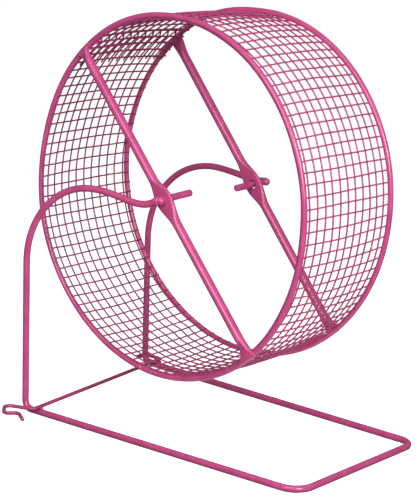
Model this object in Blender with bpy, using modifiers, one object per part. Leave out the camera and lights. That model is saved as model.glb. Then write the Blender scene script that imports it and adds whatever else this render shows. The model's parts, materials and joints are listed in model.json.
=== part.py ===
"""Hamster running wheel: a welded mesh drum that spins on the two ends of a bent wire stand.

The drum is two wire rims, a band of square mesh inside them and one flattened rod across each rim.
The stand is a single length of wire: axle pin, arm, post, base, post, arm, axle pin.
X points to the open front of the base, Y runs along the axle, and Z is up.
"""

import math

import bmesh
import bpy
from mathutils import Matrix, Vector

MM = 0.001

# Drum
WHEEL_DIAMETER = 205 * MM
DRUM_WIDTH = 73.8 * MM
RIM_WIRE = 3.2 * MM
MESH_WIRE = 0.9 * MM
MESH_RUNGS = 60
MESH_BAYS = 7
RIM_SEGMENTS = 72

# Crossbars
ROD_DIAMETER = 5.2 * MM
HUB_PLATE_WIDTH = 12.2 * MM
HUB_PLATE_LENGTH = 27 * MM
END_PLATE_WIDTH = 8.6 * MM
WIDE_END_PLATE_WIDTH = 13.8 * MM
END_PLATE_LENGTH = 13.5 * MM
END_SETBACK = 0.4 * MM
CROSSBAR_SET_IN = 0.8 * MM
NEAR_CROSSBAR_TURN = math.radians(130.5)
FAR_CROSSBAR_TURN = math.radians(129.4)

# Stand
STAND_WIRE = 4 * MM
FLOOR_CLEARANCE = 34.5 * MM
NEAR_POST_BACK = 86.8 * MM
FAR_POST_BACK = 108.6 * MM
NEAR_CORNER_FORWARD = 117.7 * MM
FAR_CORNER_FORWARD = 111.8 * MM
NEAR_POST_GAP = 23.3 * MM
FAR_POST_GAP = 27.2 * MM
NEAR_CORNER_GAP = 19.1 * MM
FAR_CORNER_GAP = 18 * MM
FOOT_BEND = 5 * MM
CORNER_BEND = 11 * MM

# Arms and axle pins
PIN_BEND = 3.4 * MM
PIN_TILT = math.radians(3)
NEAR_ARM_STANDOFF = 0.4 * MM
FAR_ARM_STANDOFF = 7 * MM
NEAR_ARM_SHOULDER_DROP = 47 * MM
FAR_ARM_SHOULDER_DROP = 54 * MM
NEAR_ARM_SHOULDER_REACH = 43 * MM
FAR_ARM_SHOULDER_REACH = 65.8 * MM
NEAR_ARM_CREST = 1.2 * MM
FAR_ARM_CREST = 2.3 * MM
NEAR_ARM_SAG = 3.5 * MM
FAR_ARM_SAG = 0.2 * MM
NEAR_PIN_LENGTH = 21.4 * MM
FAR_PIN_LENGTH = 14.8 * MM

# Rear cross wire
CROSS_WIRE = 2.3 * MM
CROSS_WIRE_AHEAD_OF_NEAR_POST = 12.3 * MM
CROSS_WIRE_AHEAD_OF_FAR_POST = 11.4 * MM
TAIL_LENGTH = 3.6 * MM
TAIL_CLEARANCE = 0.5 * MM
HOOK_OVERHANG = 5.9 * MM
HOOK_BEND = 3.2 * MM
HOOK_LEG_BACK = 17.8 * MM
HOOK_LEG_OUT = 6.7 * MM
HOOK_TURN_FORWARD = 12 * MM
HOOK_TURN_OUT = 11.4 * MM
HOOK_RETURN_FORWARD = 5.3 * MM
HOOK_RETURN_IN = 6.7 * MM
HOOK_FLARE_FORWARD = 11.1 * MM
HOOK_FLARE_OUT = 6.8 * MM

# Fits
SEAT_GAP = 0.3 * MM
AXLE_CLEARANCE = 0.4 * MM
CUT_OVERRUN = 2 * MM
MERGE_DISTANCE = 0.01 * MM

# Facets
WIRE_SIDES_RESOLUTION = 3
THIN_WIRE_RESOLUTION = 2
ROD_SIDES = 16
HUB_STATIONS = 16
END_STATIONS = 7
RIM_SIDES = 8
ARM_STEPS = 8
SHOULDER_STEPS = 10
BEND_STEP = math.radians(15)

# Sizes that follow
RIM_RADIUS = (WHEEL_DIAMETER - RIM_WIRE) / 2
AXLE_HEIGHT = WHEEL_DIAMETER / 2 + FLOOR_CLEARANCE
RIM_OFFSET = (DRUM_WIDTH - RIM_WIRE) / 2
MESH_RADIUS = RIM_RADIUS - RIM_WIRE / 2 - SEAT_GAP - MESH_WIRE / 2
STAND_SIDES = 2 * (WIRE_SIDES_RESOLUTION + 2)
STAND_FLAT = STAND_WIRE / 2 * math.cos(math.pi / STAND_SIDES)
CROSSBAR_SEAT = RIM_OFFSET + RIM_WIRE / 2 + SEAT_GAP
END_PLATE_THICKNESS = ROD_DIAMETER ** 2 / END_PLATE_WIDTH
CROSSBAR_OFFSET = CROSSBAR_SEAT + END_PLATE_THICKNESS / 2 - CROSSBAR_SET_IN
CROSSBAR_REACH = WHEEL_DIAMETER / 2 - END_SETBACK
HUB_PLATE_THICKNESS = ROD_DIAMETER ** 2 / HUB_PLATE_WIDTH
AXLE_HOLE_RADIUS = STAND_WIRE / 2 + AXLE_CLEARANCE
HUB_FACE = CROSSBAR_OFFSET + HUB_PLATE_THICKNESS / 2
NEAR_ARM_OFFSET = HUB_FACE + STAND_WIRE / 2 + NEAR_ARM_STANDOFF
FAR_ARM_OFFSET = HUB_FACE + STAND_WIRE / 2 + FAR_ARM_STANDOFF
CROSS_WIRE_LEVEL = 2 * STAND_FLAT + SEAT_GAP + CROSS_WIRE / 2
NEAR_FOOT = Vector((-NEAR_POST_BACK, -DRUM_WIDTH / 2 - NEAR_POST_GAP, STAND_FLAT))
FAR_FOOT = Vector((-FAR_POST_BACK, DRUM_WIDTH / 2 + FAR_POST_GAP, STAND_FLAT))
NEAR_CORNER = Vector((NEAR_CORNER_FORWARD, -DRUM_WIDTH / 2 - NEAR_CORNER_GAP, STAND_FLAT))
FAR_CORNER = Vector((FAR_CORNER_FORWARD, DRUM_WIDTH / 2 + FAR_CORNER_GAP, STAND_FLAT))


def clear_scene():
    for old in list(bpy.data.objects):
        bpy.data.objects.remove(old, do_unlink=True)


def new_collection(name):
    collection = bpy.data.collections.new(name)
    bpy.context.scene.collection.children.link(collection)
    return collection


def new_empty(name, location, parent=None):
    empty = bpy.data.objects.new(name, None)
    empty.location = location
    empty.parent = parent
    bpy.context.scene.collection.objects.link(empty)
    return empty


def powder_coat(name, colour, roughness):
    """Painted steel: a Principled material with a soft gloss."""
    material = bpy.data.materials.new(name)
    material.use_nodes = True
    shader = material.node_tree.nodes["Principled BSDF"]
    shader.inputs["Base Color"].default_value = (*colour, 1)
    shader.inputs["Roughness"].default_value = roughness
    shader.inputs["Metallic"].default_value = 0
    material.diffuse_color = (*colour, 1)
    return material


def smooth(share):
    """Ease from 0 to 1 with level ends."""
    share = min(max(share, 0), 1)
    return share * share * (3 - 2 * share)


def rounded_path(corners):
    """Points of a bent wire: each corner is (place, bend radius), and radius 0 keeps the corner."""
    points = [Vector(corners[0][0])]
    for index in range(1, len(corners) - 1):
        here, radius = Vector(corners[index][0]), corners[index][1]
        back = (Vector(corners[index - 1][0]) - here).normalized()
        ahead = (Vector(corners[index + 1][0]) - here).normalized()
        turn = math.pi - back.angle(ahead)
        if radius == 0:
            points.append(here)
            continue
        start = here + back * radius * math.tan(turn / 2)
        centre = here + (back + ahead).normalized() * radius / math.cos(turn / 2)
        spoke = start - centre
        axis = back.cross(ahead).normalized()
        steps = max(2, round(turn / BEND_STEP))
        for step in range(steps + 1):
            points.append(centre + Matrix.Rotation(-turn * step / steps, 3, axis) @ spoke)
    points.append(Vector(corners[-1][0]))
    return points


def wire(name, points, diameter, resolution, parent, material, parts):
    """A round wire along the points, with closed ends."""
    curve = bpy.data.curves.new(name, "CURVE")
    curve.dimensions = "3D"
    curve.twist_mode = "MINIMUM"
    curve.bevel_depth = diameter / 2
    curve.bevel_resolution = resolution
    curve.use_fill_caps = True
    spline = curve.splines.new("POLY")
    spline.points.add(len(points) - 1)
    for place, point in zip(points, spline.points):
        point.co = (*place, 1)
    spline.use_smooth = True
    curve.materials.append(material)
    obj = bpy.data.objects.new(name, curve)
    obj.parent = parent
    parts.objects.link(obj)
    return obj


def lay_flat(stand):
    """Turn the wire about its own centre line until its facets under the front wire lie level."""
    bpy.context.view_layer.update()
    solid = stand.evaluated_get(bpy.context.evaluated_depsgraph_get())
    middle = (NEAR_CORNER + FAR_CORNER) / 2
    along = (FAR_CORNER - NEAR_CORNER).normalized()
    under = [face.normal.copy() for face in solid.to_mesh().polygons
             if (face.center - middle).length < STAND_WIRE]
    solid.to_mesh_clear()
    lowest = min(under, key=lambda normal: normal.z)
    lean = math.atan2(along.y * lowest.x - along.x * lowest.y, -lowest.z)
    for point in stand.data.splines[0].points:
        point.tilt = lean


def arm_points(foot, shoulder_drop, shoulder_reach, crest, sag, arm_offset):
    """Centre line of an arm, from beside the axle back over its crest and down to the top of the post."""
    post_back = -foot.x
    crest_back = post_back - shoulder_reach
    points = []
    for step in range(1, ARM_STEPS):
        share = 1 - step / ARM_STEPS
        rise = crest * (1 - smooth(share)) - sag * math.sin(math.pi * share ** 2)
        points.append((crest_back * (1 - share), rise))
    for step in range(SHOULDER_STEPS + 1):
        angle = math.pi / 2 * step / SHOULDER_STEPS
        back = crest_back + shoulder_reach * math.sin(angle)
        points.append((back, crest - (shoulder_drop + crest) * (1 - math.cos(angle))))
    placed = []
    for back, rise in points:
        offset = arm_offset + (foot.y - arm_offset) * back / post_back
        placed.append((Vector((-back, offset, AXLE_HEIGHT + rise)), 0))
    return placed


def pin_point(offset, plate_offset):
    """A point of a pin: both pins lean the same way about the middle of their own hub plates."""
    return Vector((0, offset, AXLE_HEIGHT + (offset - plate_offset) * math.tan(PIN_TILT)))


def stand_corners():
    """The whole stand in one run, from the free end of the near pin to the free end of the far pin."""
    near_arm = arm_points(NEAR_FOOT, NEAR_ARM_SHOULDER_DROP, NEAR_ARM_SHOULDER_REACH,
                          NEAR_ARM_CREST, NEAR_ARM_SAG, -NEAR_ARM_OFFSET)
    far_arm = arm_points(FAR_FOOT, FAR_ARM_SHOULDER_DROP, FAR_ARM_SHOULDER_REACH,
                         FAR_ARM_CREST, FAR_ARM_SAG, FAR_ARM_OFFSET)
    near_pin = [(pin_point(NEAR_PIN_LENGTH - CROSSBAR_OFFSET, -CROSSBAR_OFFSET), 0),
                (pin_point(-NEAR_ARM_OFFSET, -CROSSBAR_OFFSET), PIN_BEND)]
    far_pin = [(pin_point(FAR_ARM_OFFSET, CROSSBAR_OFFSET), PIN_BEND),
               (pin_point(CROSSBAR_OFFSET - FAR_PIN_LENGTH, CROSSBAR_OFFSET), 0)]
    base = [(NEAR_FOOT, FOOT_BEND), (NEAR_CORNER, CORNER_BEND),
            (FAR_CORNER, CORNER_BEND), (FAR_FOOT, FOOT_BEND)]
    return near_pin + near_arm + base + far_arm[::-1] + far_pin


def make_stand(parent, material, parts):
    points = rounded_path(stand_corners())
    stand = wire("stand_frame", points, STAND_WIRE, WIRE_SIDES_RESOLUTION, parent, material, parts)
    lay_flat(stand)
    return stand


def cross_wire_corners():
    """From the tail round the far post, over both long bars, to the flared end of the hook."""
    wrap = STAND_WIRE / 2 + TAIL_CLEARANCE + CROSS_WIRE / 2
    post = Vector((FAR_FOOT.x, FAR_FOOT.y, CROSS_WIRE_LEVEL))
    far_over = post + Vector((CROSS_WIRE_AHEAD_OF_FAR_POST, 0, 0))
    near_over = Vector((NEAR_FOOT.x + CROSS_WIRE_AHEAD_OF_NEAR_POST, NEAR_FOOT.y, CROSS_WIRE_LEVEL))
    along = (near_over - far_over).normalized()
    outside = near_over + along * HOOK_OVERHANG
    back = outside + Vector((-HOOK_LEG_BACK, -HOOK_LEG_OUT, 0))
    turned = back + Vector((HOOK_TURN_FORWARD, -HOOK_TURN_OUT, 0))
    throat = turned + Vector((HOOK_RETURN_FORWARD, HOOK_RETURN_IN, 0))
    tip = throat + Vector((HOOK_FLARE_FORWARD, -HOOK_FLARE_OUT, 0))
    return [(post + Vector((-wrap, -TAIL_LENGTH, 0)), 0),
            (post + Vector((-wrap, wrap, 0)), wrap),
            (far_over - along * wrap, wrap - TAIL_CLEARANCE),
            (outside, HOOK_BEND),
            (back, HOOK_BEND),
            (turned, HOOK_BEND),
            (throat, HOOK_BEND),
            (tip, 0)]


def make_cross_wire(parent, material, parts):
    points = rounded_path(cross_wire_corners())
    return wire("rear_cross_wire", points, CROSS_WIRE, THIN_WIRE_RESOLUTION, parent, material, parts)


def make_rim(name, side, parent, material, parts):
    bpy.ops.mesh.primitive_torus_add(major_segments=RIM_SEGMENTS, minor_segments=RIM_SIDES,
                                     major_radius=RIM_RADIUS, minor_radius=RIM_WIRE / 2)
    rim = bpy.context.object
    rim.name = name
    rim.data.transform(Matrix.Rotation(math.pi / 2, 4, "X"))
    rim.data.shade_smooth()
    rim.parent = parent
    rim.location = (0, side * RIM_OFFSET, 0)
    move_to(rim, parts)
    rim.data.materials.append(material)
    return rim


def make_mesh_band(parent, material, parts):
    """Square mesh rolled into a drum: a turned grid whose edges become welded wires."""
    profile = bmesh.new()
    height = 2 * RIM_OFFSET
    rows = [profile.verts.new((MESH_RADIUS, height * (1 / 2 - row / MESH_BAYS), 0))
            for row in range(MESH_BAYS + 1)]
    for upper, lower in zip(rows, rows[1:]):
        profile.edges.new((upper, lower))
    mesh = bpy.data.meshes.new("running_mesh")
    profile.to_mesh(mesh)
    profile.free()
    band = bpy.data.objects.new("running_mesh", mesh)
    band.parent = parent
    parts.objects.link(band)
    turned = band.modifiers.new("turn", "SCREW")
    turned.axis = "Y"
    turned.steps = MESH_RUNGS
    turned.render_steps = MESH_RUNGS
    turned.use_merge_vertices = True
    turned.merge_threshold = MERGE_DISTANCE
    grid = band.modifiers.new("wires", "WIREFRAME")
    grid.thickness = MESH_WIRE
    grid.offset = 0
    grid.use_even_offset = False
    grid.use_boundary = True
    mesh.materials.append(material)
    return band


def pressed_section(width, centre, station):
    """A ring of the crossbar: the wider the rod is pressed, the thinner and squarer it gets."""
    thickness = ROD_DIAMETER ** 2 / width
    flatness = 2 + 3 * smooth((width - ROD_DIAMETER) / (END_PLATE_WIDTH - ROD_DIAMETER))
    ring = []
    for side in range(ROD_SIDES):
        angle = 2 * math.pi * (side + 1 / 2) / ROD_SIDES
        across = math.copysign(abs(math.cos(angle)) ** (2 / flatness), math.cos(angle))
        through = math.copysign(abs(math.sin(angle)) ** (2 / flatness), math.sin(angle))
        ring.append(Vector((station, centre + thickness / 2 * through, width / 2 * across)))
    return ring


def crossbar_stations(low_width, high_width):
    """Width and depth of the crossbar along its length, from its low end to its high end."""
    rings = []
    plate_start = CROSSBAR_REACH - END_PLATE_LENGTH
    for end_width, direction in ((low_width, -1), (high_width, 1)):
        end_rings = []
        seat = CROSSBAR_SEAT + ROD_DIAMETER ** 2 / end_width / 2
        for step in range(END_STATIONS + 1):
            share = step / END_STATIONS
            width = ROD_DIAMETER + (end_width - ROD_DIAMETER) * smooth(share)
            centre = CROSSBAR_OFFSET + (seat - CROSSBAR_OFFSET) * smooth(share)
            end_rings.append((direction * (plate_start + END_PLATE_LENGTH * share), width, centre))
        rings += end_rings if direction > 0 else end_rings[::-1]
        if direction < 0:
            for step in range(HUB_STATIONS + 1):
                share = 2 * step / HUB_STATIONS - 1
                width = ROD_DIAMETER + (HUB_PLATE_WIDTH - ROD_DIAMETER) * math.cos(share * math.pi / 2) ** 2
                rings.append((share * HUB_PLATE_LENGTH / 2, width, CROSSBAR_OFFSET))
    return rings


def make_crossbar(name, side, turn, low_width, parent, material, parts, cutters):
    """Loft the pressed rod through its stations, then drill its middle plate for the axle pin."""
    loft = bmesh.new()
    rings = [[loft.verts.new(place) for place in pressed_section(width, centre, station)]
             for station, width, centre in crossbar_stations(low_width, END_PLATE_WIDTH)]
    for ring, after in zip(rings, rings[1:]):
        for index in range(ROD_SIDES):
            following = (index + 1) % ROD_SIDES
            loft.faces.new((ring[index], ring[following], after[following], after[index]))
    loft.faces.new(rings[0][::-1])
    loft.faces.new(rings[-1])
    if side < 0:
        bmesh.ops.scale(loft, vec=(1, -1, 1), verts=loft.verts)
    bmesh.ops.rotate(loft, matrix=Matrix.Rotation(-turn, 3, "Y"), verts=loft.verts)
    bmesh.ops.recalc_face_normals(loft, faces=loft.faces)
    mesh = bpy.data.meshes.new(name)
    loft.to_mesh(mesh)
    loft.free()
    mesh.shade_smooth()
    mesh.set_sharp_from_angle(angle=math.radians(50))
    bar = bpy.data.objects.new(name, mesh)
    bar.parent = parent
    parts.objects.link(bar)
    mesh.materials.append(material)
    drill = make_drill(name + "_drill", side, parent, cutters)
    hole = bar.modifiers.new("axle_hole", "BOOLEAN")
    hole.operation = "DIFFERENCE"
    hole.solver = "EXACT"
    hole.object = drill
    return bar


def make_drill(name, side, parent, cutters):
    """A cylinder along the axle that cuts the pin hole of one crossbar."""
    mesh = bpy.data.meshes.new(name)
    solid = bmesh.new()
    bmesh.ops.create_cone(solid, cap_ends=True, segments=ROD_SIDES, radius1=AXLE_HOLE_RADIUS,
                          radius2=AXLE_HOLE_RADIUS, depth=HUB_PLATE_THICKNESS + 2 * CUT_OVERRUN,
                          matrix=Matrix.Rotation(math.pi / 2, 4, "X"))
    solid.to_mesh(mesh)
    solid.free()
    drill = bpy.data.objects.new(name, mesh)
    drill.parent = parent
    drill.location = (0, side * CROSSBAR_OFFSET, 0)
    drill.hide_render = True
    drill.display_type = "WIRE"
    cutters.objects.link(drill)
    return drill


def move_to(obj, collection):
    for holder in list(obj.users_collection):
        holder.objects.unlink(obj)
    collection.objects.link(obj)


def centre_footprint(root, parts):
    """Move the part so that the middle of its outline on the floor is the origin."""
    bpy.context.view_layer.update()
    depsgraph = bpy.context.evaluated_depsgraph_get()
    places = []
    for obj in parts.objects:
        solid = obj.evaluated_get(depsgraph)
        mesh = solid.to_mesh()
        places += [solid.matrix_world @ vertex.co for vertex in mesh.vertices]
        solid.to_mesh_clear()
    middle_x = (min(p.x for p in places) + max(p.x for p in places)) / 2
    middle_y = (min(p.y for p in places) + max(p.y for p in places)) / 2
    root.location = (-middle_x, -middle_y, 0)
    bpy.context.view_layer.update()


def main():
    clear_scene()
    parts = new_collection("hamster_wheel")
    cutters = new_collection("cutters")
    root = new_empty("footprint", (0, 0, 0))
    axle = new_empty("axle", (0, 0, AXLE_HEIGHT), root)
    pink = (0.50, 0.075, 0.21)
    dark_pink = (0.44, 0.06, 0.18)
    make_stand(root, powder_coat("stand_paint", pink, 0.35), parts)
    make_cross_wire(root, powder_coat("cross_wire_paint", dark_pink, 0.38), parts)
    make_rim("rim_near", -1, axle, powder_coat("near_rim_paint", pink, 0.35), parts)
    make_rim("rim_far", 1, axle, powder_coat("far_rim_paint", pink, 0.35), parts)
    make_mesh_band(axle, powder_coat("mesh_paint", dark_pink, 0.42), parts)
    make_crossbar("crossbar_near", -1, NEAR_CROSSBAR_TURN, WIDE_END_PLATE_WIDTH, axle,
                  powder_coat("near_crossbar_paint", pink, 0.33), parts, cutters)
    make_crossbar("crossbar_far", 1, FAR_CROSSBAR_TURN, END_PLATE_WIDTH, axle,
                  powder_coat("far_crossbar_paint", pink, 0.33), parts, cutters)
    centre_footprint(root, parts)


main()
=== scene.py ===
"""Looks of the hamster wheel: painted wire stand, welded mesh drum and pressed crossbars.

Places are in millimetres from the point on the floor under the axle, with Z up, Y along the axle.
Angles round the drum are in degrees from +X towards +Z.
"""

import json
import math

import bpy
from mathutils import Matrix, Vector


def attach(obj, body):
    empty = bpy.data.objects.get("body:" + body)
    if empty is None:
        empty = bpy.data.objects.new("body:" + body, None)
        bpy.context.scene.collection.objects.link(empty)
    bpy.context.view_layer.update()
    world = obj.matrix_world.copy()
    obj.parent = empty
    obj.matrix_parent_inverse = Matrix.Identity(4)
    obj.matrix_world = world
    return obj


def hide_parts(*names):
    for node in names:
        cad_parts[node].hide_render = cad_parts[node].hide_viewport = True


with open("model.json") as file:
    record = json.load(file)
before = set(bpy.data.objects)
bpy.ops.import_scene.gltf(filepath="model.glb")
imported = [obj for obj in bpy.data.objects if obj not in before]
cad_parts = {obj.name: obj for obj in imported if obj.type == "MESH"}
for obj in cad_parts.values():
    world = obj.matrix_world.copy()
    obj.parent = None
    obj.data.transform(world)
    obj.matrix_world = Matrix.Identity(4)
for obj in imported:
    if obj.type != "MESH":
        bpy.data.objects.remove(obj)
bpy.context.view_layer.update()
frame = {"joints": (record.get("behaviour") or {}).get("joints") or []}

MM = 0.001
AXLE = Vector(frame["joints"][0]["pos_m"])
AXLE_HEIGHT = AXLE.z / MM


def at(x, y, z):
    """A place in the row frame, in metres."""
    return Vector((AXLE.x + x * MM, AXLE.y + y * MM, z * MM))


def on_drum(radius, degrees, y):
    """A place round the axle, in metres."""
    angle = math.radians(degrees)
    return at(radius * math.cos(angle), y, AXLE_HEIGHT + radius * math.sin(angle))


def noise(seed):
    """A repeatable number from -1 to 1."""
    value = math.sin(seed * 12.9898 + 4.1414) * 43758.5453
    return 2 * (value - math.floor(value)) - 1


def ease(share):
    """A share kept from 0 to 1, with a soft start and end."""
    share = min(max(share, 0), 1)
    return share * share * (3 - 2 * share)


def periodic(angle, table):
    """Smooth closed curve through (degrees, value) pairs."""
    table = sorted(table)
    angle %= 360
    count = len(table)
    for index in range(count):
        a0, v0 = table[index]
        a1, v1 = table[(index + 1) % count]
        span = (a1 - a0) % 360
        along = (angle - a0) % 360
        if along <= span:
            before = table[index - 1][1]
            after = table[(index + 2) % count][1]
            t = along / span
            return 0.5 * (2 * v0 + (v1 - before) * t + (2 * before - 5 * v0 + 4 * v1 - after) * t * t
                          + (3 * v0 - before - 3 * v1 + after) * t ** 3)
    return 0


class Shape:
    """Collects tubes and bumps, then becomes one mesh object."""

    def __init__(self):
        self.verts = []
        self.faces = []

    def tube(self, path, radius, sides, closed=False, dome=0.5):
        """A tube along a path, in metres, with one radius or a list; dome is an open end's bulge."""
        count = len(path)
        radii = radius if isinstance(radius, list) else [radius] * count
        tangents = []
        for index in range(count):
            if closed:
                ahead, behind = path[(index + 1) % count], path[index - 1]
            else:
                ahead, behind = path[min(index + 1, count - 1)], path[max(index - 1, 0)]
            tangents.append((ahead - behind).normalized())
        normal = tangents[0].orthogonal().normalized()
        start = len(self.verts)
        normals = [normal]
        for before, after in zip(tangents, tangents[1:]):
            normal = before.rotation_difference(after) @ normal
            normal = (normal - after * normal.dot(after)).normalized()
            normals.append(normal)
        if closed:
            back = tangents[-1].rotation_difference(tangents[0]) @ normals[-1]
            off = math.atan2(back.dot(tangents[0].cross(normals[0])), back.dot(normals[0]))
            normals = [Matrix.Rotation(-off * index / count, 3, tangent) @ normal
                       for index, (normal, tangent) in enumerate(zip(normals, tangents))]
        rings = [(path[index], tangents[index], normals[index], radii[index]) for index in range(count)]
        if not closed:
            # Width and rise of the sections that round an end, as shares of its radius
            caps = ((0.97, 0.30), (0.80, 0.68), (0.45, 0.93))
            first, last = rings[0], rings[-1]
            head = [(first[0] - first[1] * first[3] * dome * rise, first[1], first[2], first[3] * wide)
                    for wide, rise in reversed(caps)]
            tail = [(last[0] + last[1] * last[3] * dome * rise, last[1], last[2], last[3] * wide)
                    for wide, rise in caps]
            rings = head + rings + tail
        for place, tangent, normal, wide in rings:
            side = tangent.cross(normal)
            for step in range(sides):
                angle = 2 * math.pi * step / sides
                self.verts.append(place + (normal * math.cos(angle) + side * math.sin(angle)) * wide)
        total = len(rings)
        for ring in range(total if closed else total - 1):
            for step in range(sides):
                a = start + ring * sides + step
                b = start + ring * sides + (step + 1) % sides
                c = start + (ring + 1) % total * sides + (step + 1) % sides
                d = start + (ring + 1) % total * sides + step
                self.faces.append((a, b, c, d))
        if not closed:
            for ring, tip, flip in ((0, path[0] - tangents[0] * radii[0] * dome, True),
                                    (total - 1, path[-1] + tangents[-1] * radii[-1] * dome, False)):
                self.verts.append(tip)
                centre = len(self.verts) - 1
                for step in range(sides):
                    a = start + ring * sides + step
                    b = start + ring * sides + (step + 1) % sides
                    self.faces.append((b, a, centre) if flip else (a, b, centre))

    def loft(self, rings):
        """Skin over closed rings of the same count, with flat ends."""
        start, sides = len(self.verts), len(rings[0])
        for ring in rings:
            self.verts += ring
        for row in range(len(rings) - 1):
            for step in range(sides):
                a = start + row * sides + step
                b = start + row * sides + (step + 1) % sides
                self.faces.append((a, b, b + sides, a + sides))
        self.faces.append(tuple(start + step for step in reversed(range(sides))))
        self.faces.append(tuple(start + (len(rings) - 1) * sides + step for step in range(sides)))

    def bump(self, centre, size, along=Vector((0, 0, 1)), segments=8, rows=5):
        """A small weld bead: a ball drawn out along one way. size is (across, along) in millimetres."""
        axis = along.normalized()
        wide, long = size[0] * MM, size[1] * MM
        one = axis.orthogonal().normalized()
        two = axis.cross(one)
        start = len(self.verts)
        for row in range(1, rows):
            lift = math.pi * row / rows
            for step in range(segments):
                angle = 2 * math.pi * step / segments
                out = (one * math.cos(angle) + two * math.sin(angle)) * wide * math.sin(lift)
                self.verts.append(centre + out + axis * long * math.cos(lift))
        top = len(self.verts)
        self.verts += [centre + axis * long, centre - axis * long]
        for step in range(segments):
            after = (step + 1) % segments
            self.faces.append((start + step, start + after, top))
            last = start + (rows - 2) * segments
            self.faces.append((last + after, last + step, top + 1))
            for row in range(rows - 2):
                low = start + row * segments
                high = low + segments
                self.faces.append((low + after, low + step, high + step, high + after))

    def build(self, name, material, body):
        """The object, riding a body and coloured by one material."""
        mesh = bpy.data.meshes.new(name)
        mesh.from_pydata([tuple(v) for v in self.verts], [], self.faces)
        mesh.validate()
        mesh.materials.append(material)
        mesh.shade_smooth()
        obj = bpy.data.objects.new(name, mesh)
        bpy.context.scene.collection.objects.link(obj)
        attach(obj, body)
        return obj


# Paint: each coat is (usual colour, where the film is thick, where it is thin)

PINK = ((0.52, 0.066, 0.212), (0.46, 0.054, 0.182), (0.57, 0.084, 0.244))
CROSS_WIRE_PINK = ((0.44, 0.055, 0.175), (0.36, 0.040, 0.135), (0.50, 0.072, 0.208))
MESH_PINK = ((0.49, 0.066, 0.20), (0.42, 0.052, 0.165), (0.54, 0.08, 0.225))
# Painted shade: the darker colour of mesh faces that look towards the axle, inside the drum
MESH_INNER_SHADE = (0.27, 0.036, 0.108)
# Pale colour of the bare spots, lighter than the paint: a painted glint
BARE_METAL_GLINT = ((0.62, 0.42, 0.50), (0.50, 0.26, 0.36), (0.76, 0.66, 0.70))
PAINT_IOR = 1.5
COAT_WEIGHT = 0.2
COAT_ROUGHNESS = 0.16

# Clouds of noise: scale, detail and roughness, and the values that they run between
FILM_CLOUD, FILM_FROM, FILM_TO = (95, 4, 0.6), 0.30, 0.70
SPECK_CLOUD, SPECK_FROM, SPECK_TO = (1500, 2, 0.5), 0.66, 0.76
GLOSS_CLOUD, GLOSS_FROM, GLOSS_TO = (260, 3, 0.55), 0.3, 0.7
PEEL_CLOUD, PEEL_HEIGHT = (1100, 2, 0.5), 0.12 * MM
SPECK_STRENGTH = 0.22
SPECK_GAIN = 1.5
SPECK_LIFT = 0.03
# Range of facing towards or away from the axle over which the painted shade fades out
INNER_SHADE_FROM, INNER_SHADE_TO = -0.85, 0.15


def add(nodes, kind, inputs=None, **settings):
    """A new shader node with some settings and input values."""
    node = nodes.new("ShaderNode" + kind)
    for name, value in settings.items():
        setattr(node, name, value)
    for name, value in (inputs or {}).items():
        node.inputs[name].default_value = value
    return node


def painted_inner_shade(nodes, links, colour, inner):
    """Darkens the faces that look towards the axle: painted shade inside the drum."""
    place = add(nodes, "TexCoord")
    spoke = add(nodes, "VectorMath", {1: at(0, 0, AXLE_HEIGHT)}, operation="SUBTRACT")
    links.new(place.outputs["Object"], spoke.inputs[0])
    level = add(nodes, "VectorMath", {1: (1, 0, 1)}, operation="MULTIPLY")
    links.new(spoke.outputs["Vector"], level.inputs[0])
    unit = add(nodes, "VectorMath", operation="NORMALIZE")
    links.new(level.outputs["Vector"], unit.inputs[0])
    facing = add(nodes, "VectorMath", operation="DOT_PRODUCT")
    links.new(unit.outputs["Vector"], facing.inputs[0])
    links.new(place.outputs["Normal"], facing.inputs[1])
    share = add(nodes, "MapRange", {"From Min": INNER_SHADE_FROM, "From Max": INNER_SHADE_TO})
    links.new(facing.outputs["Value"], share.inputs["Value"])
    mixed = add(nodes, "Mix", data_type="RGBA")
    mixed.inputs["A"].default_value = (*inner, 1)
    links.new(share.outputs["Result"], mixed.inputs["Factor"])
    links.new(colour, mixed.inputs["B"])
    return mixed.outputs["Result"]


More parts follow.
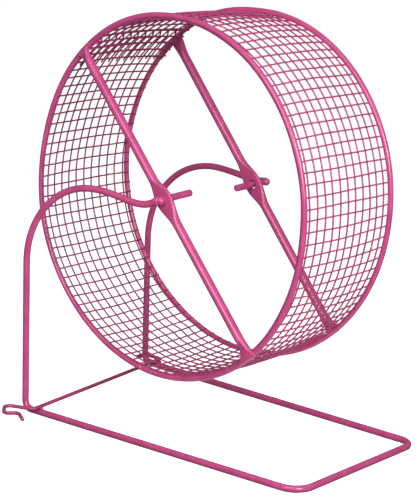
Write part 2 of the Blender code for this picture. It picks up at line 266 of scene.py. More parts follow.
def powder_coat(name, colours, rough=(0.19, 0.27), peel=0.04, inner=None):
    """Powder coat on steel wire: orange peel, uneven film and fine dust; with inner, painted shade on faces
    towards the axle.
    """
    base, dark, light = colours
    material = bpy.data.materials.new(name)
    material.use_nodes = True
    nodes, links = material.node_tree.nodes, material.node_tree.links
    shader = nodes["Principled BSDF"]
    shader.inputs["Metallic"].default_value = 0
    shader.inputs["IOR"].default_value = PAINT_IOR
    shader.inputs["Coat Weight"].default_value = COAT_WEIGHT
    shader.inputs["Coat Roughness"].default_value = COAT_ROUGHNESS
    place = add(nodes, "TexCoord")

    def cloud(scale, detail, roughness):
        node = add(nodes, "TexNoise", {"Scale": scale, "Detail": detail, "Roughness": roughness})
        links.new(place.outputs["Object"], node.inputs["Vector"])
        return node.outputs["Fac"]

    def ramp(values, low, high):
        node = add(nodes, "ValToRGB")
        for element, (value, colour) in zip(node.color_ramp.elements, (low, high)):
            element.position = value
            element.color = (*colour, 1)
        links.new(values, node.inputs["Fac"])
        return node

    film = ramp(cloud(*FILM_CLOUD), (FILM_FROM, dark), (FILM_TO, light))
    film.color_ramp.elements.new((FILM_FROM + FILM_TO) / 2).color = (*base, 1)
    specks = ramp(cloud(*SPECK_CLOUD), (SPECK_FROM, (0, 0, 0)), (SPECK_TO, (1, 1, 1)))
    faint = add(nodes, "Math", {1: SPECK_STRENGTH}, operation="MULTIPLY")
    links.new(specks.outputs["Color"], faint.inputs[0])
    dusty = add(nodes, "Mix", data_type="RGBA", blend_type="MIX")
    dusty.inputs["B"].default_value = (*[min(1, part * SPECK_GAIN + SPECK_LIFT) for part in light], 1)
    links.new(faint.outputs[0], dusty.inputs["Factor"])
    links.new(film.outputs["Color"], dusty.inputs["A"])
    colour = dusty.outputs["Result"]
    # Painted shade on faces that look towards the axle
    if inner is not None:
        colour = painted_inner_shade(nodes, links, colour, inner)
    links.new(colour, shader.inputs["Base Color"])
    spread = add(nodes, "MapRange", {"From Min": GLOSS_FROM, "From Max": GLOSS_TO,
                                     "To Min": rough[0], "To Max": rough[1]})
    links.new(cloud(*GLOSS_CLOUD), spread.inputs["Value"])
    links.new(spread.outputs["Result"], shader.inputs["Roughness"])
    skin = add(nodes, "Bump", {"Strength": peel, "Distance": PEEL_HEIGHT})
    links.new(cloud(*PEEL_CLOUD), skin.inputs["Height"])
    links.new(skin.outputs["Normal"], shader.inputs["Normal"])
    return material


# Stand: pin, arm, post, base, post, arm, pin, with the sizes of the CAD

STAND_RADIUS = 2.0
STAND_FIT = 0.985
STAND_FLAT_SHARE = 0.986
ROD = 5.2
END_PLATE_WIDTH = 8.6
HUB_PLATE_WIDTH = 12.2
DRUM_HALF = 36.9
SEAT_GAP = 0.3
CROSSBAR_SET_IN = 0.8
SEAT = DRUM_HALF + SEAT_GAP
END_SEAT = SEAT + ROD ** 2 / END_PLATE_WIDTH / 2
CROSSBAR_OFFSET = END_SEAT - CROSSBAR_SET_IN
HUB_FACE = CROSSBAR_OFFSET + ROD ** 2 / HUB_PLATE_WIDTH / 2
FOOT_Z = STAND_RADIUS * STAND_FLAT_SHARE
NEAR_FOOT = Vector((-86.8, -DRUM_HALF - 23.3, FOOT_Z))
FAR_FOOT = Vector((-108.6, DRUM_HALF + 27.2, FOOT_Z))
NEAR_CORNER = Vector((117.7, -DRUM_HALF - 19.1, FOOT_Z))
FAR_CORNER = Vector((111.8, DRUM_HALF + 18, FOOT_Z))
BEND_STEP = math.radians(6)
LEAST_BEND_STEPS = 3
FOOT_BEND = 5
CORNER_BEND = 11

NEAR_ELBOW = -HUB_FACE - 2.4
FAR_ELBOW = HUB_FACE + 9
NEAR_PIN_BEND = 2.5
FAR_PIN_BEND = 3.4
NEAR_PIN_LENGTH = 21.4
FAR_PIN_LENGTH = 14.8
PIN_TILT = math.radians(3)
NEAR_ARM = {"drop": 47, "reach": 43, "crest": 1.2, "sag": 3.9}
FAR_ARM = {"drop": 54, "reach": 65.8, "crest": 2.3, "sag": 0.2}
ARM_STEPS = 26
SHOULDER_STEPS = 30
ELBOW_KEPT_FREE = 4.5
STAND_SPACING = 1.2
STAND_SIDES = 24
BLUNT_END = 0.18

NEAR_SWELL = 0.28
FAR_SWELL = 0.14
NEAR_SWELL_SHIFT = 0.5
SWELL_CORE = 3.6
SWELL_FADE = 10
KNOB_SEGMENTS, KNOB_ROWS = 24, 14
NEAR_KNOB = (0.7, NEAR_ELBOW + 0.2, AXLE_HEIGHT - 0.35)
NEAR_KNOB_SIZE = (2.62, 2.42)
FAR_KNOB = (1.4, FAR_ELBOW - 0.2, AXLE_HEIGHT + 0.4)
FAR_KNOB_SIZE = (2.3, 2.4)
PAINT_DROPS = (((-65.0, NEAR_FOOT.y - 1.0, 3.4), (0.45, 0.6)),
               ((-52.0, NEAR_FOOT.y - 1.3, 3.2), (0.4, 0.5)))


def rounded(corners):
    """Points of a bent wire: each corner is (place, bend radius), and radius 0 keeps the corner."""
    points = [Vector(corners[0][0])]
    for index in range(1, len(corners) - 1):
        here, radius = Vector(corners[index][0]), corners[index][1]
        if radius == 0:
            points.append(here)
            continue
        back = (Vector(corners[index - 1][0]) - here).normalized()
        ahead = (Vector(corners[index + 1][0]) - here).normalized()
        turn = math.pi - back.angle(ahead)
        start = here + back * radius * math.tan(turn / 2)
        centre = here + (back + ahead).normalized() * radius / math.cos(turn / 2)
        spoke = start - centre
        axis = back.cross(ahead).normalized()
        steps = max(LEAST_BEND_STEPS, round(turn / BEND_STEP))
        for n in range(steps + 1):
            points.append(centre + Matrix.Rotation(-turn * n / steps, 3, axis) @ spoke)
    points.append(Vector(corners[-1][0]))
    return points


def dense(points, gap):
    """The same line with a point at least every gap millimetres."""
    out = []
    for one, two in zip(points, points[1:]):
        parts = max(1, math.ceil((two - one).length / gap))
        out += [one.lerp(two, n / parts) for n in range(parts)]
    return out + [points[-1]]


def arm(foot, offset, drop, reach, crest, sag):
    """Corners of one arm, from its elbow over the crest and down the shoulder to the post."""
    back_end = -foot.x
    crest_back = back_end - reach
    points = []
    for step in range(1, ARM_STEPS):
        share = 1 - step / ARM_STEPS
        back = crest_back * (1 - share)
        if back > ELBOW_KEPT_FREE:
            points.append((back, crest * (1 - ease(share)) - sag * math.sin(math.pi * share ** 2)))
    for step in range(SHOULDER_STEPS + 1):
        angle = math.pi / 2 * step / SHOULDER_STEPS
        points.append((crest_back + reach * math.sin(angle), crest - (drop + crest) * (1 - math.cos(angle))))
    return [(Vector((-back, offset + (foot.y - offset) * back / back_end, AXLE_HEIGHT + rise)), 0)
            for back, rise in points]


def pin(offset, plate):
    """A place on a pin's centre line, which tilts about the middle of its crossbar's eye."""
    return Vector((0, offset, AXLE_HEIGHT + (offset - plate) * math.tan(PIN_TILT)))


def stand_path():
    """The stand's centre line, from the tip of the near pin to the tip of the far one."""
    corners = [(pin(NEAR_PIN_LENGTH - CROSSBAR_OFFSET, -CROSSBAR_OFFSET), 0),
               (pin(NEAR_ELBOW, -CROSSBAR_OFFSET), NEAR_PIN_BEND)]
    corners += arm(NEAR_FOOT, NEAR_ELBOW, **NEAR_ARM)
    corners += [(NEAR_FOOT, FOOT_BEND), (NEAR_CORNER, CORNER_BEND),
                (FAR_CORNER, CORNER_BEND), (FAR_FOOT, FOOT_BEND)]
    corners += arm(FAR_FOOT, FAR_ELBOW, **FAR_ARM)[::-1]
    corners += [(pin(FAR_ELBOW, CROSSBAR_OFFSET), FAR_PIN_BEND),
                (pin(CROSSBAR_OFFSET - FAR_PIN_LENGTH, CROSSBAR_OFFSET), 0)]
    return dense(rounded(corners), STAND_SPACING)


def swell(point):
    """Radius of the wire, which is upset a little where it is bent sharply into a pin."""
    size = STAND_RADIUS * STAND_FIT
    for elbow, gain in ((pin(NEAR_ELBOW + NEAR_SWELL_SHIFT, -CROSSBAR_OFFSET), NEAR_SWELL),
                        (pin(FAR_ELBOW, CROSSBAR_OFFSET), FAR_SWELL)):
        size += STAND_RADIUS * (gain * math.exp(-((point - elbow).length / SWELL_CORE) ** 4)
                                + gain / 4 * math.exp(-((point - elbow).length / SWELL_FADE) ** 2))
    return size


stand_paint = powder_coat("stand_powder_coat", PINK)
stand_line = stand_path()
stand = Shape()
stand.tube([at(*point) for point in stand_line], [swell(point) * MM for point in stand_line],
           STAND_SIDES, dome=BLUNT_END)
for place, drop_size in PAINT_DROPS:
    stand.bump(at(*place), drop_size, Vector((1, 0, 0)))
stand.bump(at(*NEAR_KNOB), NEAR_KNOB_SIZE, Vector((0, 1, 0)), KNOB_SEGMENTS, KNOB_ROWS)
stand.bump(at(*FAR_KNOB), FAR_KNOB_SIZE, Vector((1, 0, 0)), KNOB_SEGMENTS, KNOB_ROWS)
stand_obj = stand.build("stand_wire", stand_paint, "stand")
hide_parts("stand_frame")


# Rear cross wire with its tail and hook

CROSS_RADIUS = 1.15
CROSS_FIT = 0.975
CROSS_LIFT = 0.05
CROSS_Z = 2 * STAND_RADIUS + CROSS_LIFT + CROSS_RADIUS
AHEAD_OF_NEAR_POST = 12.3
AHEAD_OF_FAR_POST = 11.4
POST_CLEARANCE = 0.5
TAIL_LENGTH = 3.6
HOOK_OVERHANG = 5.9
HOOK_BEND = 3.2
HOOK_LEGS = ((-17.8, -6.7), (12, -11.4), (5.3, 6.7), (11.1, -6.8))
CROSS_SPACING = 3
CROSS_SIDES = 16
CUT_END = 0.3
SEAT_WELD_SIZE = (0.9, 1.5)
SEAT_WELD_SHIFT = 1.2
SEAT_WELD_SLANT = 0.3
SEAT_WELD_WAY = Vector((1, 0.1, 0))
SEAT_WELD_SEGMENTS, SEAT_WELD_ROWS = 10, 6
SEAT_WELD_DROP = 0.95


def cross_path():
    """From the tail behind the far post, over both long bars, to the tip of the hook."""
    wrap = STAND_RADIUS + POST_CLEARANCE + CROSS_RADIUS
    post = Vector((FAR_FOOT.x, FAR_FOOT.y, CROSS_Z))
    far_over = post + Vector((AHEAD_OF_FAR_POST, 0, 0))
    near_over = Vector((NEAR_FOOT.x + AHEAD_OF_NEAR_POST, NEAR_FOOT.y, CROSS_Z))
    along = (near_over - far_over).normalized()
    hook = [near_over + along * HOOK_OVERHANG]
    for ahead, aside in HOOK_LEGS:
        hook.append(hook[-1] + Vector((ahead, aside, 0)))
    corners = [(post + Vector((-wrap, -TAIL_LENGTH, 0)), 0), (post + Vector((-wrap, wrap, 0)), wrap),
               (far_over - along * wrap, wrap - POST_CLEARANCE)]
    corners += [(place, HOOK_BEND) for place in hook[:-1]] + [(hook[-1], 0)]
    return [at(*point) for point in dense(rounded(corners), CROSS_SPACING)]


cross_paint = powder_coat("cross_wire_powder_coat", CROSS_WIRE_PINK)
cross = Shape()
cross.tube(cross_path(), CROSS_FIT * CROSS_RADIUS * MM, CROSS_SIDES, dome=CUT_END)
cross_obj = cross.build("cross_wire", cross_paint, "stand")
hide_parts("rear_cross_wire")

seats = Shape()
for seat_x, seat_y in ((NEAR_FOOT.x + AHEAD_OF_NEAR_POST, NEAR_FOOT.y),
                       (FAR_FOOT.x + AHEAD_OF_FAR_POST, FAR_FOOT.y)):
    for shift in (-SEAT_WELD_SHIFT, SEAT_WELD_SHIFT):
        place = at(seat_x + shift, seat_y + SEAT_WELD_SLANT * shift, CROSS_Z - SEAT_WELD_DROP)
        seats.bump(place, SEAT_WELD_SIZE, SEAT_WELD_WAY, SEAT_WELD_SEGMENTS, SEAT_WELD_ROWS)
seats.build("cross_wire_welds", stand_paint, "stand")


# Rims: RIM_PLACE is where each lies along the axle, and OUT_OF_ROUND is (degrees, how far it stands out)

RIM_RADIUS = 1.6
WHEEL_RADIUS = 102.5
RIM_CENTRE = WHEEL_RADIUS - RIM_RADIUS
RIM_STATIONS = 240
RIM_SIDES = 18
RIM_PLACE = {-1: -36.0, 1: 35.3}
OUT_OF_ROUND = {
    -1: ((0, -2.75), (20, -2.1), (40, -1.3), (60, -0.4), (75, 0.1), (90, -0.05), (105, 0.5), (120, 0.65),
         (140, 0.3), (160, -0.5), (170, -0.45), (180, 0.15), (195, 1.1), (210, 1.2), (230, 0.9), (250, 0.7),
         (270, 0.5), (285, 0.2), (300, 0), (320, -0.75), (340, -2.2)),
    1: ((0, -0.2), (15, 0.5), (30, 0.9), (50, 1.2), (70, 0.95), (82, 0.35), (90, -0.05), (98, 0.35),
        (110, 0.85), (125, 0.5), (140, -0.3), (160, -0.4), (180, 0), (200, -0.3), (220, -1.2), (240, -1.8),
        (255, -1.6), (275, -1.2), (290, -1.0), (310, -1.0), (330, -0.9), (350, -0.6)),
}


def dent(angle, y):
    """How far the drum stands out of round at one place, in millimetres."""
    share = min(max((y - RIM_PLACE[-1]) / (RIM_PLACE[1] - RIM_PLACE[-1]), 0), 1)
    return periodic(angle, OUT_OF_ROUND[-1]) * (1 - share) + periodic(angle, OUT_OF_ROUND[1]) * share


rim_paint = powder_coat("rim_powder_coat", PINK)
for name, side, slot in (("near", -1, "near_rim_paint"), ("far", 1, "far_rim_paint")):
    rim = Shape()
    y = RIM_PLACE[side]
    turns = [360 * n / RIM_STATIONS for n in range(RIM_STATIONS)]
    rim.tube([on_drum(RIM_CENTRE + dent(angle, y), angle, y) for angle in turns],
             RIM_RADIUS * MM, RIM_SIDES, closed=True)
    obj = rim.build("rim_wire_" + name, rim_paint, "wheel")
    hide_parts("rim_" + name)


# Mesh: rungs along the axle, welded over rings round the drum, lapped at a seam

MESH_WIRE = 0.48
MESH_SIDES = 8
RUNG_RADIUS = 99.5
RING_RADIUS = 98.86
MESH_HALF = 36.7
BARREL_HALF = 36.5
BARREL = 1.6
SEAM_START = 122.1
PITCH = 3.652
RUNG_COUNT = 103
END_CREEP = 1.25
CREEP_FROM, CREEP_OVER = 80, 18
CELLS_BEFORE_LAP = 98.4
LAP_START = SEAM_START + CELLS_BEFORE_LAP * PITCH
LAP_RUN_IN = 3
LAP_DEPTH = 1.25
LAP_SHIFT = 1.8
LAPPED_RUNGS = 4
RING_PLACES = (-35.9, -29.9, -23.9, -17.9, -11.9, -5.8, 0.3, 6.4, 12.6, 18.8, 25.1, 31.4)

# Irregularities as (degrees round the drum, size); rings wander in millimetres and rungs in degrees
RING_WANDER = ((0, -0.2), (20, -0.1), (40, 0.7), (60, 0.8), (75, 0.4), (95, 0.7), (120, 0.5), (140, -0.1),
               (156, -0.1), (168, -0.9), (180, -2.0), (195, -2.3), (210, -2.0), (225, -1.6), (240, -1.5),
               (255, -1.2), (270, -1.0), (300, -0.7), (330, -0.1))
RING_SKEW, SKEW_PLACE, SKEW_SPREAD = 0.9, 207, 45
HOLD_POWER = 10
KINK = 1.5
KINK_PLACE = (248, 19.3)
KINK_SPREAD = (3.2, 13.5)
RUNG_WANDER = ((0, -1.7), (25, -1.8), (60, -1.7), (95, -0.9), (125, 0.1), (145, 0.1), (160, -0.15),
               (180, -0.4), (205, -1.05), (230, -1.5), (250, -1.6), (268, -2.05), (285, -1.6), (305, -1.1),
               (318, -1.05), (335, -1.65), (350, -1.8))
RUNG_SKEW = ((0, 0.35), (15, 0), (60, 0), (140, -0.15), (180, -0.3), (205, -0.15), (225, -0.3),
             (240, -0.45), (253, -0.7), (268, -0.3), (300, 0.2), (325, 0.6), (342, 1.0), (351, 0.9))
RUNG_ERROR = 0.14
SWAY, SWAY_WAVES, SWAY_START = 0.22, 3, 20
RIPPLE, RIPPLE_LENGTH, RIPPLE_MIX, RIPPLE_SEED = 0.10, 9, 5, 40
RUNG_STEPS = 24
RUNG_BOW, RUNG_BOW_LENGTH = 0.10, 7
RUNG_PAST_RIM, RUNG_END_ERROR = 0.7, 0.3
RUNG_DOME, RING_DOME = 0.6, 0.4
RING_STEPS = 520
RING_PAST_RUNG = 1.2
RING_WEAVE, RING_WEAVE_LENGTH, RING_WEAVE_OFFSET = 0.12, 4.1, 2.3
RING_LIFT, RING_LIFT_LENGTH = 0.08, 5.3


def rung_angle(index):
    """Where a rung lies round the drum; the last ones creep so that both layers of the lap meet."""
    even = SEAM_START + PITCH * index + END_CREEP * ease((index - CREEP_FROM) / CREEP_OVER)
    return even + periodic(even, RUNG_WANDER)


def lap(angle):
    """How far the lapped end of the sheet stands inside the first layer."""
    return -LAP_DEPTH * ease((angle - LAP_START) / LAP_RUN_IN)


def barrel(y):
    """The sheet stands out a little between the rims."""
    return BARREL * (1 - (y / BARREL_HALF) ** 2)


def drift(angle, y):
    """Sideways wander of the rings, held at the rims."""
    angle_once = angle % 360
    hold = 1 - min(1, abs(y) / MESH_HALF) ** HOLD_POWER
    skew = RING_SKEW * y / MESH_HALF * math.exp(-((angle_once - SKEW_PLACE) / SKEW_SPREAD) ** 4)
    kink = (KINK * math.exp(-((angle_once - KINK_PLACE[0]) / KINK_SPREAD[0]) ** 2)
            * math.exp(-((y - KINK_PLACE[1]) / KINK_SPREAD[1]) ** 2))
    return (periodic(angle, RING_WANDER) + skew) * hold + kink


def lean(angle, y, index):
    """Small error of a rung's place round the drum, in degrees."""
    sway = SWAY * math.sin(math.radians(angle * SWAY_WAVES + SWAY_START)) * y / MESH_HALF
    sway += periodic(angle, RUNG_SKEW) * y / MESH_HALF
    ripple = RIPPLE * math.sin(y / RIPPLE_LENGTH + RIPPLE_MIX * noise(index + RIPPLE_SEED))
    return RUNG_ERROR * noise(index) + sway + ripple


# The mesh is darker on faces that look towards the axle: painted shade inside the drum
mesh_paint = powder_coat("mesh_powder_coat", MESH_PINK, rough=(0.4, 0.52), peel=0.15, inner=MESH_INNER_SHADE)
band = Shape()
for index in range(RUNG_COUNT):
    angle = rung_angle(index)
    ends = [RIM_PLACE[side] + side * (RUNG_PAST_RIM + RUNG_END_ERROR * noise(index * 2 + side))
            for side in (-1, 1)]
    path = []
    for step in range(RUNG_STEPS + 1):
        y = ends[0] + (ends[1] - ends[0]) * step / RUNG_STEPS
        bow = RUNG_BOW * math.sin(y / RUNG_BOW_LENGTH + index)
        radius = RUNG_RADIUS + barrel(y) + dent(angle, y) + lap(angle) + bow
        path.append(on_drum(radius, angle + lean(angle, y, index), y))
    band.tube(path, MESH_WIRE * MM, MESH_SIDES, dome=RUNG_DOME)
ring_start = SEAM_START - RING_PAST_RUNG
ring_turn = PITCH * (RUNG_COUNT - 1) + 2 * RING_PAST_RUNG + END_CREEP
for index, place in enumerate(RING_PLACES):
    path = []
    for step in range(RING_STEPS + 1):
        angle = ring_start + ring_turn * step / RING_STEPS
        shift = LAP_SHIFT * ease((angle - LAP_START) / LAP_RUN_IN)
        weave = RING_WEAVE * math.sin(angle / RING_WEAVE_LENGTH + index * RING_WEAVE_OFFSET)
        y = place + drift(angle, place) + shift + weave
        lift = RING_LIFT * math.sin(angle / RING_LIFT_LENGTH + index)
        radius = RING_RADIUS + barrel(y) + dent(angle, y) + lap(angle) + lift
        path.append(on_drum(radius, angle, y))
    band.tube(path, MESH_WIRE * MM, MESH_SIDES, dome=RING_DOME)
band_obj = band.build("mesh_band", mesh_paint, "wheel")
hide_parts("running_mesh")

# Weld lumps where the rungs meet the rims, and small bare spots whose pale colour is a painted glint

WELD_SIZE, WELD_SIZE_ERROR = 0.5, 0.14
WELD_STRETCH = 1.15
WELD_LIFT = 0.12
WELD_PLACE_ERROR = 0.3
GLINTS = ((261.0, 100.6, -37.3, (0.34, 0.7)), (265.8, 100.9, -37.4, (0.32, 0.6)),
          (267.8, 100.5, -37.4, (0.28, 0.5)), (296.0, 101.2, -37.3, (0.25, 0.6)))
BURR = (0.6, FAR_ELBOW + 0.3, AXLE_HEIGHT + 2.5)
BURR_SIZE = (0.6, 1.5)
BURR_WAY = Vector((1, -0.6, 0))
BURR_SEGMENTS, BURR_ROWS = 12, 8

welds = Shape()
for index in range(RUNG_COUNT - LAPPED_RUNGS):
    angle = rung_angle(index)
    for side in (-1, 1):
        size = WELD_SIZE + WELD_SIZE_ERROR * noise(index * 3 + side)
        y = RIM_PLACE[side] + WELD_PLACE_ERROR * noise(index + 9 * side)
        place = on_drum(RUNG_RADIUS + dent(angle, y) + WELD_LIFT, angle + lean(angle, y, index), y)
        welds.bump(place, (size, WELD_STRETCH * size), Vector((0, 1, 0)))
welds.build("rim_welds", rim_paint, "wheel")

# Painted highlight: the pale bumps below stand in for glints on the rim welds and the far elbow
bare_glint_paint = powder_coat("bare_weld_glint", BARE_METAL_GLINT, rough=(0.25, 0.4))
glints = Shape()
for degrees, radius, y, glint_size in GLINTS:
    way = Vector((-math.sin(math.radians(degrees)), 0, math.cos(math.radians(degrees))))
    glints.bump(on_drum(radius, degrees, y), glint_size, way)
glints.build("rim_glints", bare_glint_paint, "wheel")
# The burr on the far elbow is pale too: a painted glint
burr = Shape()
burr.bump(at(*BURR), BURR_SIZE, BURR_WAY, BURR_SEGMENTS, BURR_ROWS)
burr.build("far_elbow_burr_glint", bare_glint_paint, "stand")


# Crossbars: rods pressed flat at both ends and at the hub, where they are drilled

SIDES = 36
SIDE_TURN = 360 / SIDES
END_STEPS = 30
HUB_STEPS = 32
HUB_FIRST_SIDE = 8
LEAST_FLAT = 0.02
END_PLATE_LENGTH = 13.5
NEAR_TURN, FAR_TURN = 130.5, 129.4
NEAR_BORE, FAR_BORE = 2.5, 2.8
DRILL_SIDES = 40
DRILL_REACH = 4
SHARPEST_SMOOTH = math.radians(40)

# Each near end: sense along the bar, length, left and right edge of its flat, reach, slant of the cut
NEAR_ENDS = ((-1, 13.5, 8.8, -4.2, 102.6, -0.07), (1, 9.5, 4.6, -3.4, 101.7, -0.16))
NEAR_FLAT = (38.9, 37.3)
NEAR_HUB_HALVES = (17.5, 13.5)
CREST_SPREAD = 3
FAR_ENDS = ((-1, 100.4), (1, 102.1))
FAR_HUB_HALVES = (16.5, 17.5)
FAR_END_EDGE = ((0, 0.3), (0.12, 0.1), (0.3, 0))


def pressed(width, centre, trim):
    """Points of one section as (depth, across): two flats joined by round edges, of the rod's area."""
    thick = ROD ** 2 / width
    edge = thick / 2 - trim
    flat = max((width - thick) / 2, LEAST_FLAT)
    points = []
    for step in range(SIDES):
        angle = math.radians(SIDE_TURN * (step + 0.5))
        across = math.copysign(flat, math.cos(angle)) + edge * math.cos(angle)
        points.append((centre + edge * math.sin(angle), across))
    return points


def hammered(share, left, right, outer, inner):
    """Section of a near bar's end: the crest of the rod runs out into the right corner of a thin flat."""
    spread = CREST_SPREAD + (left - CREST_SPREAD) * share ** 2
    stops = ((90, outer, right), (0, outer, spread), (-20, inner, spread), (-160, inner, right),
             (-270, outer, right))
    points = []
    for step in range(SIDES):
        angle = 90 - SIDE_TURN * step
        for one, two in zip(stops, stops[1:]):
            if two[0] <= angle <= one[0]:
                part = (one[0] - angle) / (one[0] - two[0])
                depth = one[1] + (two[1] - one[1]) * part
                across = one[2] + (two[2] - one[2]) * part
                break
        round_depth = CROSSBAR_OFFSET + ROD / 2 * math.sin(math.radians(angle))
        round_across = ROD / 2 * math.cos(math.radians(angle))
        points.append((round_depth + (depth - round_depth) * share,
                       round_across + (across - round_across) * share))
    return points


def hub_rows(low_half, high_half):
    """(station, width) through the drilled plate, low side first."""
    for step in range(2 * HUB_STEPS + 1):
        share = step / HUB_STEPS - 1
        width = ROD + (HUB_PLATE_WIDTH - ROD) * math.cos(share * math.pi / 2) ** 2
        yield share * (high_half if share > 0 else low_half), width


def near_bar_sections():
    """Stations and points of each section of the near bar, low end first."""
    sections = []
    for sense, length, left, right, reach, slant in NEAR_ENDS:
        end = []
        for step in range(END_STEPS + 1):
            share = step / END_STEPS
            points = hammered(share, left, right, *NEAR_FLAT)
            station = reach - length * (1 - share)
            end.append(([sense * (station + slant * share * (across - right)) for _, across in points], points))
        sections += end if sense > 0 else end[::-1]
        if sense < 0:
            for station, width in hub_rows(*NEAR_HUB_HALVES):
                points = pressed(width, CROSSBAR_OFFSET, 0)
                points = [points[(HUB_FIRST_SIDE - n) % SIDES] for n in range(SIDES)]
                sections.append(([station] * SIDES, points))
    return sections


def far_bar_sections():
    """Stations and points of each section of the far bar, low end first."""
    sections = []
    for sense, reach in FAR_ENDS:
        end = []
        for step, (trim, setback) in enumerate(((0, 0),) * END_STEPS + FAR_END_EDGE):
            share = min(step / END_STEPS, 1)
            eased = ease(share)
            width = ROD + (END_PLATE_WIDTH - ROD) * eased
            station = reach - END_PLATE_LENGTH + END_PLATE_LENGTH * share - setback
            points = pressed(width, CROSSBAR_OFFSET + (END_SEAT - CROSSBAR_OFFSET) * eased, trim)
            end.append(([sense * station] * SIDES, points[::-1]))
        sections += end if sense > 0 else end[::-1]
        if sense < 0:
            for station, width in hub_rows(*FAR_HUB_HALVES):
                sections.append(([station] * SIDES, pressed(width, CROSSBAR_OFFSET, 0)[::-1]))
    return sections


def crossbar(name, side, turn, sections, bore, material, node):
    """Skins the sections, turns the bar to its place and drills its eye."""
    angle = math.radians(turn)
    rings = []
    for stations, points in sections:
        ring = []
        for station, (depth, across) in zip(stations, points):
            x = station * math.cos(angle) - across * math.sin(angle)
            z = station * math.sin(angle) + across * math.cos(angle)
            ring.append(at(x, side * depth, AXLE_HEIGHT + z))
        rings.append(ring[::-1] if side > 0 else ring)
    bar = Shape()
    bar.loft(rings)
    obj = bar.build(name, material, "wheel")
    turns = [math.radians(-360 / DRILL_SIDES * step * side) for step in range(DRILL_SIDES)]
    drill_shape = Shape()
    drill_shape.loft([[at(bore * math.cos(turned), side * depth, AXLE_HEIGHT + bore * math.sin(turned))
                       for turned in turns]
                      for depth in (CROSSBAR_OFFSET - DRILL_REACH, CROSSBAR_OFFSET + DRILL_REACH)])
    drill_mesh = bpy.data.meshes.new(name + "_drill")
    drill_mesh.from_pydata([tuple(vert) for vert in drill_shape.verts], [], drill_shape.faces)
    drill = bpy.data.objects.new(name + "_drill", drill_mesh)
    bpy.context.scene.collection.objects.link(drill)
    cut = obj.modifiers.new("axle_hole", "BOOLEAN")
    cut.operation = "DIFFERENCE"
    cut.solver = "EXACT"
    cut.object = drill
    bpy.context.view_layer.update()
    drilled = bpy.data.meshes.new_from_object(obj.evaluated_get(bpy.context.evaluated_depsgraph_get()))
    obj.modifiers.clear()
    obj.data = drilled
    bpy.data.objects.remove(drill, do_unlink=True)
    drilled.shade_smooth()
    drilled.set_sharp_from_angle(angle=SHARPEST_SMOOTH)
    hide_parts(node)


bar_paint = powder_coat("crossbar_powder_coat", PINK, rough=(0.18, 0.26))
crossbar("crossbar_rod_near", -1, NEAR_TURN, near_bar_sections(), NEAR_BORE, bar_paint,
         "crossbar_near")
crossbar("crossbar_rod_far", 1, FAR_TURN, far_bar_sections(), FAR_BORE, bar_paint,
         "crossbar_far")


# Floor, light and camera, in metres and watts

FLOOR_HALF = 14
FLOOR_DROP = 0.0003
FLOOR_GREY = 0.9
FLOOR_GLOW = 0.9
WORLD_STRENGTH = 0.15
DRUM_CENTRE = (0, 0, 0.12)

# Name, place, aim, width, height, power
SOFT_LIGHTS = (("key_softbox", (0.72, -0.36, 0.40), DRUM_CENTRE, 0.34, 0.34, 5.8),
               ("fill_softbox", (0.24, -0.74, 0.56), DRUM_CENTRE, 0.50, 0.50, 4.2),
               ("table_bounce", (0.08, 0.01, 0.0035), (0.08, 0.01, 0.2), 0.24, 0.14, 0.06),
               ("top_softbox", (0.1, -0.3, 1.5), DRUM_CENTRE, 1.2, 1.2, 2))

CAMERA_PLACE = (671.03, -754.95, 321.82)
AZIMUTH, ELEVATION, ROLL = (math.radians(v) for v in (41.6131, 12.2229, 1.7253))
FOCAL_PIXELS = 1808.125
PHOTO_HEIGHT = 500
SENSOR_HEIGHT = 36
CLIP_START, CLIP_END = 0.05, 60

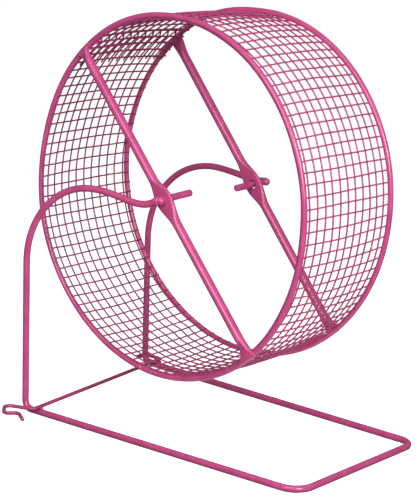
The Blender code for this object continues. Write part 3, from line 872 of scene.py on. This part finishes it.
paper = bpy.data.materials.new("floor_paper")
paper.use_nodes = True
for socket, value in (("Base Color", (FLOOR_GREY, FLOOR_GREY, FLOOR_GREY, 1)), ("Roughness", 0.9),
                      ("Specular IOR Level", 0.1), ("Emission Color", (1, 1, 1, 1)),
                      ("Emission Strength", FLOOR_GLOW)):
    paper.node_tree.nodes["Principled BSDF"].inputs[socket].default_value = value
floor_mesh = bpy.data.meshes.new("floor")
floor_mesh.from_pydata([(-FLOOR_HALF, -FLOOR_HALF, 0), (FLOOR_HALF, -FLOOR_HALF, 0),
                        (FLOOR_HALF, FLOOR_HALF, 0), (-FLOOR_HALF, FLOOR_HALF, 0)], [], [(0, 1, 2, 3)])
floor_mesh.materials.append(paper)
floor = bpy.data.objects.new("floor", floor_mesh)
floor.location = (0, 0, -FLOOR_DROP)
floor.visible_diffuse = False
floor.visible_glossy = False
bpy.context.scene.collection.objects.link(floor)

world = bpy.data.worlds.new("studio")
bpy.context.scene.world = world
world.use_nodes = True
world.node_tree.nodes["Background"].inputs["Color"].default_value = (1, 1, 1, 1)
world.node_tree.nodes["Background"].inputs["Strength"].default_value = WORLD_STRENGTH

for name, place, aim, width, height, power in SOFT_LIGHTS:
    lamp_data = bpy.data.lights.new(name, "AREA")
    lamp_data.shape = "RECTANGLE"
    lamp_data.size = width
    lamp_data.size_y = height
    lamp_data.energy = power
    lamp = bpy.data.objects.new(name, lamp_data)
    lamp.location = place
    lamp.rotation_euler = (Vector(aim) - Vector(place)).to_track_quat("-Z", "Y").to_euler()
    bpy.context.scene.collection.objects.link(lamp)

camera_data = bpy.data.cameras.new("camera")
camera_data.sensor_fit = "VERTICAL"
camera_data.sensor_height = SENSOR_HEIGHT
camera_data.lens = FOCAL_PIXELS / PHOTO_HEIGHT * SENSOR_HEIGHT
camera_data.clip_start = CLIP_START
camera_data.clip_end = CLIP_END
camera = bpy.data.objects.new("camera", camera_data)
back = Vector((math.sin(AZIMUTH) * math.cos(ELEVATION), -math.cos(AZIMUTH) * math.cos(ELEVATION),
               math.sin(ELEVATION)))
level = Vector((math.cos(AZIMUTH), math.sin(AZIMUTH), 0))
upright = back.cross(level)
right = level * math.cos(ROLL) + upright * math.sin(ROLL)
up = upright * math.cos(ROLL) - level * math.sin(ROLL)
facing = Matrix((right, up, back)).transposed().to_4x4()
camera.matrix_world = Matrix.Translation(at(*CAMERA_PLACE)) @ facing
bpy.context.scene.collection.objects.link(camera)
bpy.context.scene.camera = camera
bpy.context.scene.view_settings.view_transform = "Standard"

bpy.context.view_layer.update()
